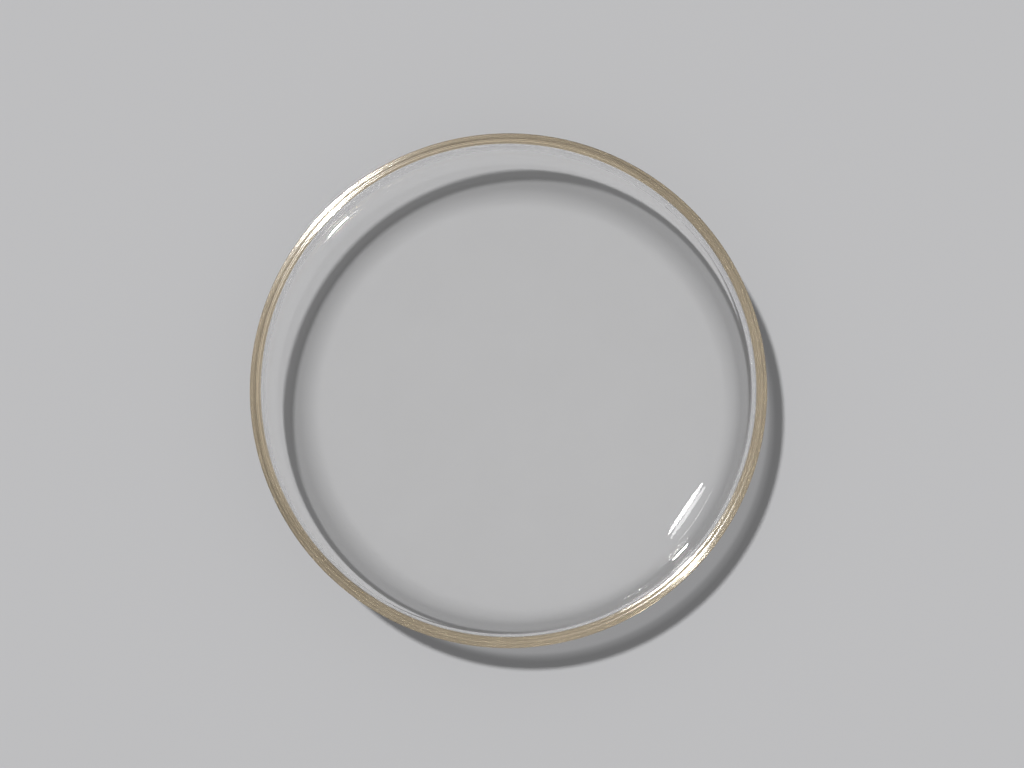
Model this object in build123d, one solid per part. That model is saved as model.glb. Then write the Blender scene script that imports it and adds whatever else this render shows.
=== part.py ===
from build123d import *
import math
import os

# Round domed watch crystal in clear acrylic, lying on its dome with the seating edge up.
#
# The crystal is one turned piece. The origin is where the dome touches the surface it lies on, +Z is
# the crystal's own axis, and the seating edge is its highest ring. Lengths are in millimetres and
# angles in degrees.

# Window
outer_diameter = 32.0        # across the land that the bezel grips, the size that a crystal is ordered by
dome_radius = 59.5           # outer face of the window
dome_radius_step = 1.3       # the inner face is rounder by this much
window_thickness = 1.1       # at the middle

# Outer wall, from the shoulder up to the seating edge
shoulder_radius = 0.35       # round between the dome and the wall
taper_height = 1.3           # leaning stretch of the wall above the shoulder
wall_lean = 3.0              # the leaning stretch closes towards the dome by this angle
land_height = 1.15           # straight stretch that the bezel grips

# Seating edge, from the land in to the mouth
bevel_width = 0.30           # lead-in that lets the edge snap under the bezel
bevel_height = 0.25
seat_width = 0.25            # flat ring that the crystal stands on in the case
break_width = 0.13           # broken inner edge
break_height = 0.10

# Inner wall
inner_lean = 1.0             # the mouth opens by this angle
inner_corner_radius = 1.6    # round between the inner wall and the inner face of the window
corner_fit_share = 0.95      # a round takes at most this share of the wall that it meets

# Turning
stub_length = 1.0            # the outer body and the hollow are turned this far past their ends

# Radii and heights that follow
land_radius = outer_diameter / 2
seat_outer_radius = land_radius - bevel_width
seat_inner_radius = seat_outer_radius - seat_width
mouth_radius = seat_inner_radius - break_width
inner_dome_radius = dome_radius - dome_radius_step
shoulder_corner_radius = land_radius - taper_height * math.tan(math.radians(wall_lean))


def dome_rise(sphere_radius, at_radius):
    """Height of a dome's face above its lowest point, at a distance from the axis."""
    return sphere_radius - math.sqrt(sphere_radius**2 - at_radius**2)


land_bottom_z = dome_rise(dome_radius, shoulder_corner_radius) + taper_height
land_top_z = land_bottom_z + land_height
seat_z = land_top_z + bevel_height
mouth_z = seat_z - break_height


def fitting_round(wanted, wall_length, sphere_radius, at_radius):
    """The wanted corner round, or the largest one that its wall has room for."""
    dome_slope = math.asin(at_radius / sphere_radius)
    reach_per_radius = 1 / math.tan((math.pi / 2 + dome_slope) / 2)
    return min(wanted, corner_fit_share * wall_length / reach_per_radius)


def corner_round(sphere_radius, apex_z, wall_point, lean, radius):
    """Arc from a dome to a leaning wall: its point on the dome, its middle and its point on the wall."""
    sphere_centre = Vector(0, apex_z + sphere_radius)
    up_wall = Vector(math.sin(math.radians(lean)), math.cos(math.radians(lean)))
    outward = Vector(up_wall.Y, -up_wall.X)
    start = wall_point - outward * radius
    # The arc's centre is one radius inside the wall and one radius inside the dome.
    from_centre = start - sphere_centre
    along = from_centre.dot(up_wall)
    gap = from_centre.dot(from_centre) - (sphere_radius - radius) ** 2
    arc_centre = start - up_wall * (along + math.sqrt(along**2 - gap))
    down_dome = (arc_centre - sphere_centre).normalized()
    middle = (down_dome + outward).normalized()
    return [arc_centre + direction * radius for direction in (down_dome, middle, outward)]


def domed_turning(corner, edge_points, end_z, sphere_radius, apex_z):
    """Solid turned from a corner arc and the edge above it, and rounded off below by its dome."""
    foot_z = apex_z - stub_length
    outline = Polyline(
        corner[-1], *edge_points, (0, end_z), (0, foot_z), (corner[0].X, foot_z), corner[0]
    )
    section = make_face([ThreePointArc(*corner), outline])
    turned = revolve(Plane.XZ * section, axis=Axis.Z)
    # The ball is laid over, so that neither of its poles is in the window.
    ball = Pos(Z=apex_z + sphere_radius) * Rot(Y=-90) * Sphere(sphere_radius)
    return turned & ball


def outer_body():
    """Crystal before it is hollowed: outer dome, shoulder, leaning wall, land and bevel."""
    land_bottom = Vector(land_radius, land_bottom_z)
    shoulder = corner_round(
        dome_radius, 0, land_bottom, wall_lean,
        fitting_round(shoulder_radius, taper_height, dome_radius, shoulder_corner_radius),
    )
    edge_points = [land_bottom, (land_radius, land_top_z), (seat_outer_radius, seat_z)]
    return domed_turning(shoulder, edge_points, seat_z, dome_radius, 0)


def hollow():
    """Room inside the crystal: inner dome, corner round, inner wall and broken edge, with a stub above."""
    mouth = Vector(mouth_radius, mouth_z)
    wall_length = mouth_z - window_thickness - dome_rise(inner_dome_radius, mouth_radius)
    inner_corner = corner_round(
        inner_dome_radius, window_thickness, mouth, inner_lean,
        fitting_round(inner_corner_radius, wall_length, inner_dome_radius, mouth_radius),
    )
    end_z = seat_z + stub_length
    edge_points = [mouth, (seat_inner_radius, seat_z), (seat_inner_radius, end_z)]
    return domed_turning(inner_corner, edge_points, end_z, inner_dome_radius, window_thickness)


crystal = outer_body() - hollow()
crystal.label = "crystal"
os.makedirs("parts", exist_ok=True)
export_step(crystal, "parts/crystal.step")
print(f"crystal: {outer_diameter:.2f} across the land, {seat_z:.2f} high, {crystal.volume:.1f} cubic mm")
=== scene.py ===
import math
import random

import bpy
from mathutils import Matrix, Quaternion, Vector


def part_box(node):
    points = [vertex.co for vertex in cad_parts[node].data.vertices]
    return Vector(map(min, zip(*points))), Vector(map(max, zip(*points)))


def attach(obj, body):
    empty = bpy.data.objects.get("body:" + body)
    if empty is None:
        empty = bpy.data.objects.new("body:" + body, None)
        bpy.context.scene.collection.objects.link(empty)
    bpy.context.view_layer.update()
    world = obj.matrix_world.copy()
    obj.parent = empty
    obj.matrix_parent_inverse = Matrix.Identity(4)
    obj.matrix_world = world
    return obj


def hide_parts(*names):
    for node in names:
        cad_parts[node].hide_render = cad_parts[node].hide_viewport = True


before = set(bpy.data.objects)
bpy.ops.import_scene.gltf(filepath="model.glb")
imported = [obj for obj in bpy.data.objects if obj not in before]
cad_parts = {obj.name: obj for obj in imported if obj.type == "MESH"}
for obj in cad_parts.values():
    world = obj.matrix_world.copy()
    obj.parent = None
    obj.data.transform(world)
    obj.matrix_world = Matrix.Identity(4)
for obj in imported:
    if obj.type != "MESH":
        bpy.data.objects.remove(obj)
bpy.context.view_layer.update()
mm = 0.001  # every length is in metres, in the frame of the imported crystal
print("crystal: packed model loaded")


# Shader maths: an output socket that can be used in plain sums.

class Value:
    def __init__(self, tree, socket):
        self.tree = tree
        self.socket = socket

    def maths(self, operation, other):
        return addNode(self.tree, "ShaderNodeMath", {"operation": operation}, {0: self, 1: other})

    def __add__(self, other):
        return self.maths("ADD", other)

    def __mul__(self, other):
        return self.maths("MULTIPLY", other)

    def __pow__(self, other):
        return self.maths("POWER", other)

    __radd__ = __add__
    __rmul__ = __mul__


def addNode(tree, kind, settings=None, inputs=None, output=0):
    # settings first, then a number, a colour or a link for each input that is named
    node = tree.nodes.new(kind)
    for name, setting in (settings or {}).items():
        setattr(node, name, setting)
    for name, value in (inputs or {}).items():
        socket = node.inputs[name]
        if isinstance(value, Value):
            tree.links.new(value.socket, socket)
        else:
            socket.default_value = (*value, 1) if socket.type == "RGBA" else value
    return Value(tree, node.outputs[output]) if node.outputs else None


def newMaterial(name):
    material = bpy.data.materials.new(name)
    material.use_nodes = True
    material.node_tree.nodes.clear()
    return material, material.node_tree


# The crystal's section, from the middle of the outer dome round the edge to the middle of the inner dome.

crystalShape = {
    "domeRadius": 59.5 * mm,
    "innerDomeRadius": 58.2 * mm,
    "windowThickness": 1.1 * mm,  # at the middle
    "shoulderRadius": 0.35 * mm,  # round between the outer dome and the wall
    "wallLean": 3,  # degrees, below the straight land
    "landHeight": 1.15 * mm,
    "bevelWidth": 0.30 * mm,
    "bevelHeight": 0.25 * mm,
    "seatWidth": 0.25 * mm,
    "breakWidth": 0.13 * mm,  # broken inner edge
    "breakHeight": 0.10 * mm,
    "innerLean": 1,  # degrees
    "innerCornerRadius": 1.6 * mm,
    "edgeAngle": 14,  # degrees: arrises and groove crests stay sharp, rounds and domes are smooth
    "stepsAround": 500,
    "stepsAcrossDome": 32,
    "stepsInShoulder": 16,
    "stepsInRound": 30,
    "stepsInStraight": 3,
    "wallFinishStart": 23,  # step of the inner round from which the wall's finish begins
}

toolMarks = {  # fine grooves that the cutting tool left round the edge
    "pitch": 0.085 * mm,
    "pitchSpread": 0.5,
    "depth": 0.014 * mm,
    "depthSpread": 0.6,
    "stepsInGroove": 6,
    "seed": 4,
}

polished, inside, wall, turned = range(4)  # material slots


def domeRise(sphereRadius, atRadius):
    return sphereRadius - math.sqrt(sphereRadius**2 - atRadius**2)


def domePoints(sphereRadius, apexZ, endRadius, steps):
    # closer together towards the edge, so that the shading stays true up to the round that follows
    radii = [endRadius * math.sin(math.pi / 2 * step / steps) for step in range(steps + 1)]
    return [Vector((radius, apexZ + domeRise(sphereRadius, radius))) for radius in radii]


def cornerPoints(sphereRadius, apexZ, wallPoint, lean, radius, steps):
    # arc that touches the dome and the leaning wall
    centre = Vector((0, apexZ + sphereRadius))
    upWall = Vector((math.sin(math.radians(lean)), math.cos(math.radians(lean))))
    outward = Vector((upWall.y, -upWall.x))
    start = wallPoint - outward * radius - centre
    along = start.dot(upWall)
    gap = start.dot(start) - (sphereRadius - radius) ** 2
    arcCentre = centre + start - upWall * (along + math.sqrt(along**2 - gap))
    downDome = (arcCentre - centre).normalized()
    sweep = downDome.angle(outward)
    startAngle = math.atan2(downDome.y, downDome.x)
    angles = [startAngle + sweep * step / steps for step in range(steps + 1)]
    return [arcCentre + Vector((math.cos(a), math.sin(a))) * radius for a in angles]


def straightLine(start, end, steps):
    return [start.lerp(end, step / steps) for step in range(steps + 1)]


def varied(size, spread, rng):
    return size * rng.uniform(1 - spread, 1 + spread)


def groovedLine(start, end, rng):
    # the straight stretch from start to end, with hollow tool marks and sharp crests between them
    marks = toolMarks
    length = (end - start).length
    along = (end - start).normalized()
    inward = Vector((-along.y, along.x))
    widths = []
    while sum(widths) < length:
        widths.append(varied(marks["pitch"], marks["pitchSpread"], rng))
    fit = length / sum(widths)
    points, at = [start], 0
    for width in widths:
        depth = varied(marks["depth"], marks["depthSpread"], rng)
        for step in range(1, marks["stepsInGroove"] + 1):
            share = step / marks["stepsInGroove"]
            hollow = depth * 4 * share * (1 - share)  # an arc that is one depth deep half way across
            points.append(start + along * (at + width * share) * fit + inward * hollow)
        at += width
    return points


def crystalSection():
    # the section's points, and the material slot of each span from one point to the next
    shape = crystalShape
    rng = random.Random(toolMarks["seed"])
    low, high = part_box("crystal")
    landRadius, seatZ = min(high.x, high.y), high.z
    seatOuterRadius = landRadius - shape["bevelWidth"]
    seatInnerRadius = seatOuterRadius - shape["seatWidth"]
    mouthRadius = seatInnerRadius - shape["breakWidth"]
    landTop = Vector((landRadius, seatZ - shape["bevelHeight"]))
    landBottom = landTop - Vector((0, shape["landHeight"]))
    seatOuter, seatInner = Vector((seatOuterRadius, seatZ)), Vector((seatInnerRadius, seatZ))
    mouth = Vector((mouthRadius, seatZ - shape["breakHeight"]))
    shoulder = cornerPoints(shape["domeRadius"], low.z, landBottom, shape["wallLean"],
                            shape["shoulderRadius"], shape["stepsInShoulder"])
    innerApexZ = low.z + shape["windowThickness"]
    innerCorner = cornerPoints(shape["innerDomeRadius"], innerApexZ, mouth, shape["innerLean"],
                               shape["innerCornerRadius"], shape["stepsInRound"])
    outerDome = domePoints(shape["domeRadius"], low.z, shoulder[0].x, shape["stepsAcrossDome"])
    innerDome = domePoints(shape["innerDomeRadius"], innerApexZ, innerCorner[0].x, shape["stepsAcrossDome"])
    straight, wallStart = shape["stepsInStraight"], shape["wallFinishStart"]
    stretches = [
        (polished, outerDome),
        (polished, shoulder),
        (polished, straightLine(shoulder[-1], landBottom, straight)),
        (polished, straightLine(landBottom, landTop, straight)),
        (turned, groovedLine(landTop, seatOuter, rng)),
        (turned, groovedLine(seatOuter, seatInner, rng)),
        (turned, groovedLine(seatInner, mouth, rng)),
        (wall, straightLine(mouth, innerCorner[-1], straight)),
        (wall, innerCorner[wallStart:][::-1]),
        (inside, innerCorner[:wallStart + 1][::-1]),
        (inside, innerDome[::-1]),
    ]
    points, slots = [outerDome[0]], []
    for slot, stretch in stretches:
        points += stretch[1:]
        slots += [slot] * (len(stretch) - 1)
    return points, slots


def turnMesh(name, points, slots, steps):
    # the section turned once round the axis, with a single point at each end of it
    middle = points[1:-1]
    vertices = [(0, 0, points[0].y)]
    for step in range(steps):
        angle = 2 * math.pi * step / steps
        vertices += [(p.x * math.cos(angle), p.x * math.sin(angle), p.y) for p in middle]
    vertices.append((0, 0, points[-1].y))
    faces, faceSlots = [], []
    count, last = len(middle), len(vertices) - 1
    for step in range(steps):
        here, there = 1 + step * count, 1 + (step + 1) % steps * count
        faces.append((0, there, here))
        faces += [(here + i, there + i, there + i + 1, here + i + 1) for i in range(count - 1)]
        faces.append((here + count - 1, there + count - 1, last))
        faceSlots += slots
    mesh = bpy.data.meshes.new(name)
    mesh.from_pydata(vertices, [], faces)
    mesh.polygons.foreach_set("material_index", faceSlots)
    mesh.polygons.foreach_set("use_smooth", [True] * len(faces))
    mesh.set_sharp_from_angle(angle=math.radians(crystalShape["edgeAngle"]))
    mesh.update()
    piece = bpy.data.objects.new(name, mesh)
    bpy.context.scene.collection.objects.link(piece)
    return piece


points, slots = crystalSection()
crystal = turnMesh("acrylicCrystal", points, slots, crystalShape["stepsAround"])
print(f"crystal: {len(points)} points in the section, {len(crystal.data.polygons)} faces")


# Acrylic. Rays from lamps and from diffuse surfaces pass it unbent, which keeps its shadow clean. So do
# rays that were mirrored several times, which would otherwise end inside the wall and leave it black.

acrylicNature = {  # what the four finishes share
    "bendIndex": 1.49,
    "hazeScale": 220,  # soft unevenness of the surface
    "hazeDetail": 4,
    "ringScale": 9000,  # fine rings round the axis that turning and polishing leave
    "ringDetail": 2,
    "grain": 0.6,  # how much the finer marks count
    "marksFrom": 0.35,  # the marks are stretched between these two values
    "marksTo": 0.65,
    "glossSpread": 0.3,  # how far the marks change the roughness, up and down
    "mirroredOften": 2.5,  # a ray that was mirrored more times than this passes unbent
}

polishedFinish = {
    "tint": (0.985, 0.983, 0.978),
    "tintSpread": 0.01,
    "ringShare": 0.2,  # of the marks; the rest is haze
    "roughness": 0.012,
    "clearness": 1.0,
    "shadowTint": 0.97,
    "rimShadowTint": 0.95,
    "shadeStart": 13.2 * mm,  # distances from the axis between which the shadow turns to the rim's
    "shadeEnd": 14.4 * mm,
}

insideFinish = {
    **polishedFinish,
    "rimShadowTint": 0.50,
    "shadeStart": 12.9 * mm,
    "shadeEnd": 14.3 * mm,
}

wallFinish = {  # inside of the wall and its corner round, polished less than the window
    "tint": (0.97, 0.965, 0.96),
    "tintSpread": 0.02,
    "ringShare": 0.5,
    "roughness": 0.09,
    "clearness": 1.0,
    "shadowTint": 0.60,
    "rimShadowTint": 0.22,
    "shadeStart": 15.19 * mm,
    "shadeEnd": 15.31 * mm,
}

turnedFinish = {
    # the tan tint is a painted reflection of a warm room; the turned acrylic itself is clear and only looks
    # tan from what it mirrors
    "tint": (0.52, 0.37, 0.19),
    "tintSpread": 0.28,
    "ringShare": 0.8,
    "roughness": 0.20,
    "clearness": 0.9,
    "shadowTint": 0.08,
    "rimShadowTint": 0.08,
    "shadeStart": 15.3 * mm,
    "shadeEnd": 16.0 * mm,
}

finishes = {  # in the order of the material slots
    "polishedAcrylic": polishedFinish,
    "insideAcrylic": insideFinish,
    "wallAcrylic": wallFinish,
    "turnedAcrylic": turnedFinish,
}


def lightPath(tree, output):
    return addNode(tree, "ShaderNodeLightPath", output=output)


def surfaceMarks(tree, finish, place, fromAxis):
    nature = acrylicNature
    haze = addNode(tree, "ShaderNodeTexNoise", {}, {
        "Vector": place, "Scale": nature["hazeScale"],
        "Detail": nature["hazeDetail"], "Roughness": nature["grain"]})
    rings = addNode(tree, "ShaderNodeTexNoise", {"noise_dimensions": "1D"}, {
        "W": fromAxis, "Scale": nature["ringScale"],
        "Detail": nature["ringDetail"], "Roughness": nature["grain"]})
    return haze * (1 - finish["ringShare"]) + rings * finish["ringShare"]


def mapMarks(tree, marks, low, high):
    return addNode(tree, "ShaderNodeMapRange", {}, {
        "Value": marks, "From Min": acrylicNature["marksFrom"], "From Max": acrylicNature["marksTo"],
        "To Min": low, "To Max": high})


def unbentAcrylic(tree, finish, fromAxis):
    nearRim = addNode(tree, "ShaderNodeMapRange", {}, {
        "Value": fromAxis, "From Min": finish["shadeStart"], "From Max": finish["shadeEnd"]})
    middle = addNode(tree, "ShaderNodeBsdfTransparent", {}, {"Color": (finish["shadowTint"],) * 3})
    rim = addNode(tree, "ShaderNodeBsdfTransparent", {}, {"Color": (finish["rimShadowTint"],) * 3})
    return addNode(tree, "ShaderNodeMixShader", {}, {0: nearRim, 1: middle, 2: rim})


def acrylic(name, finish):
    material, tree = newMaterial(name)
    place = addNode(tree, "ShaderNodeTexCoord", output="Object")
    x = addNode(tree, "ShaderNodeSeparateXYZ", {}, {0: place}, output="X")
    y = addNode(tree, "ShaderNodeSeparateXYZ", {}, {0: place}, output="Y")
    fromAxis = (x * x + y * y) ** 0.5
    marks = surfaceMarks(tree, finish, place, fromAxis)
    deeper = tuple(channel * (1 - finish["tintSpread"]) for channel in finish["tint"])
    paler = tuple(min(1, channel * (1 + finish["tintSpread"])) for channel in finish["tint"])
    tint = addNode(tree, "ShaderNodeMix", {"data_type": "RGBA"},
                   {0: mapMarks(tree, marks, 0, 1), 6: deeper, 7: paler}, output=2)  # the colour sockets
    gloss = mapMarks(tree, marks, 1 - acrylicNature["glossSpread"], 1 + acrylicNature["glossSpread"])
    bent = addNode(tree, "ShaderNodeBsdfPrincipled", {}, {
        "Base Color": tint,
        "Roughness": gloss * finish["roughness"],
        "IOR": acrylicNature["bendIndex"],
        "Transmission Weight": finish["clearness"],
    })
    unbent = unbentAcrylic(tree, finish, fromAxis)
    mirrored = lightPath(tree, "Glossy Depth").maths("GREATER_THAN", acrylicNature["mirroredOften"])
    fromDull = lightPath(tree, "Is Shadow Ray").maths("MAXIMUM", lightPath(tree, "Is Diffuse Ray"))
    straightOn = fromDull.maths("MAXIMUM", mirrored)
    surface = addNode(tree, "ShaderNodeMixShader", {}, {0: straightOn, 1: bent, 2: unbent})
    addNode(tree, "ShaderNodeOutputMaterial", {}, {"Surface": surface})
    return material


for name, finish in finishes.items():
    crystal.data.materials.append(acrylic(name, finish))
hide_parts("crystal")
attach(crystal, "root")
print(f"crystal: {len(finishes)} finishes of acrylic made")


# Floor, lamps, surroundings and camera.

floorLook = {
    "halfWidth": 5,
    "colour": (0.58, 0.58, 0.59),
    "below": 0.01 * mm,  # clear of the dome, so that the two faces never share a plane
}


def makeFloor():
    half = floorLook["halfWidth"]
    corners = [(-half, -half, 0), (half, -half, 0), (half, half, 0), (-half, half, 0)]
    mesh = bpy.data.meshes.new("floor")
    mesh.from_pydata(corners, [], [(0, 1, 2, 3)])
    floor = bpy.data.objects.new("floor", mesh)
    floor.location.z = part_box("crystal")[0].z - floorLook["below"]
    bpy.context.scene.collection.objects.link(floor)
    material, tree = newMaterial("paleFloor")
    surface = addNode(tree, "ShaderNodeBsdfPrincipled", {}, {
        "Base Color": floorLook["colour"], "Roughness": 1.0, "Specular IOR Level": 0.0})
    addNode(tree, "ShaderNodeOutputMaterial", {}, {"Surface": surface})
    mesh.materials.append(material)


# Azimuths are in degrees counter-clockwise from the picture's right, and zeniths in degrees from overhead.

keyLamp = {  # lights what is dull and casts the shadow
    "azimuth": 137,
    "zenith": 24,
    "spread": 3.6,
    "strength": 2.19,
}

windows = {  # what the crystal mirrors and bends into view
    "stripWindow": {  # the two arcs in the domes
        "azimuth": 134.2, "zenith": 24.6, "roll": 11, "length": 0.25, "height": 0.015,
        "power": 0.28, "colour": (1.0, 1.0, 1.0), "seenBy": ["glossy", "transmission"],
    },
    "highWindow": {
        "azimuth": 131.5, "zenith": 73, "roll": 0, "length": 0.20, "height": 0.30,
        "power": 100, "colour": (1.0, 0.98, 0.93), "seenBy": ["glossy", "transmission"],
    },
    "lowWindow": {
        "azimuth": 119, "zenith": 88, "roll": 0, "length": 0.34, "height": 0.14,
        "power": 140, "colour": (1.0, 0.99, 0.96), "seenBy": ["glossy", "transmission"],
    },
    "backWindow": {
        "azimuth": -41, "zenith": 84, "roll": 0, "length": 0.30, "height": 0.16,
        "power": 200, "colour": (1.0, 0.99, 0.96), "seenBy": ["glossy"],
    },
    "edgeWindow": {
        "azimuth": 129, "zenith": 52, "roll": 0, "length": 0.36, "height": 0.90,
        "power": 700, "colour": (1.0, 0.99, 0.96), "seenBy": ["transmission"],
    },
}

surroundings = {
    "lampDistance": 2.4,
    "ambient": 0.25,  # the level that lights the crystal and the floor
    "backdrop": 0.52,  # the level that is seen directly, mirrored or bent
}


def placeLamp(lamp, azimuth, zenith, roll, seenBy):
    # on a ball round the crystal, turned to face it
    azimuth, zenith = math.radians(azimuth), math.radians(zenith)
    outwards = math.sin(zenith)
    towards = Vector((math.cos(azimuth) * outwards, math.sin(azimuth) * outwards, math.cos(zenith)))
    across = Vector((-math.sin(azimuth), math.cos(azimuth), 0))
    across.rotate(Quaternion(towards, math.radians(roll)))
    turn = Matrix((across, towards.cross(across), towards)).transposed().to_4x4()
    holder = bpy.data.objects.new(lamp.name, lamp)
    holder.matrix_world = Matrix.Translation(towards * surroundings["lampDistance"]) @ turn
    holder.visible_camera = False
    holder.visible_diffuse = "diffuse" in seenBy
    holder.visible_glossy = "glossy" in seenBy
    holder.visible_transmission = "transmission" in seenBy
    bpy.context.scene.collection.objects.link(holder)


def makeKeyLamp():
    lamp = bpy.data.lights.new("keyLamp", "SUN")
    lamp.angle, lamp.energy = math.radians(keyLamp["spread"]), keyLamp["strength"]
    placeLamp(lamp, keyLamp["azimuth"], keyLamp["zenith"], 0, ["diffuse"])


def makeWindow(name, window):
    lamp = bpy.data.lights.new(name, "AREA")
    lamp.shape = "ELLIPSE"
    lamp.size, lamp.size_y = window["length"], window["height"]
    lamp.energy, lamp.color = window["power"], window["colour"]
    placeLamp(lamp, window["azimuth"], window["zenith"], window["roll"], window["seenBy"])


def makeWorld():
    world = bpy.data.worlds.new("studio")
    bpy.context.scene.world = world
    world.use_nodes = True
    tree = world.node_tree
    tree.nodes.clear()
    mirroredOrBent = lightPath(tree, "Is Glossy Ray").maths("MAXIMUM", lightPath(tree, "Is Transmission Ray"))
    seen = lightPath(tree, "Is Camera Ray").maths("MAXIMUM", mirroredOrBent)
    level = seen * (surroundings["backdrop"] - surroundings["ambient"]) + surroundings["ambient"]
    sky = addNode(tree, "ShaderNodeBackground", {}, {"Color": (1.0, 1.0, 1.0), "Strength": level})
    addNode(tree, "ShaderNodeOutputWorld", {}, {"Surface": sky})


cameraView = {
    "place": (0, -14.85 * mm, 153.2 * mm),
    "lookAt": (0.22 * mm, 0.22 * mm, 4.85 * mm),
    "lens": 84.9,  # these two in mm
    "sensorWidth": 36,
    "nearest": 10 * mm,
}


def makeCamera():
    camera = bpy.data.cameras.new("camera")
    camera.sensor_width = cameraView["sensorWidth"]
    camera.lens = cameraView["lens"]
    camera.clip_start = cameraView["nearest"]
    holder = bpy.data.objects.new("camera", camera)
    holder.location = cameraView["place"]
    away = Vector(cameraView["place"]) - Vector(cameraView["lookAt"])
    holder.rotation_euler = away.to_track_quat("Z", "Y").to_euler()
    bpy.context.scene.collection.objects.link(holder)
    bpy.context.scene.camera = holder


makeFloor()
makeKeyLamp()
for name, window in windows.items():
    makeWindow(name, window)
makeWorld()
makeCamera()
bpy.context.scene.view_settings.view_transform = "Standard"
print("studio: floor, lamps, surroundings and camera set")
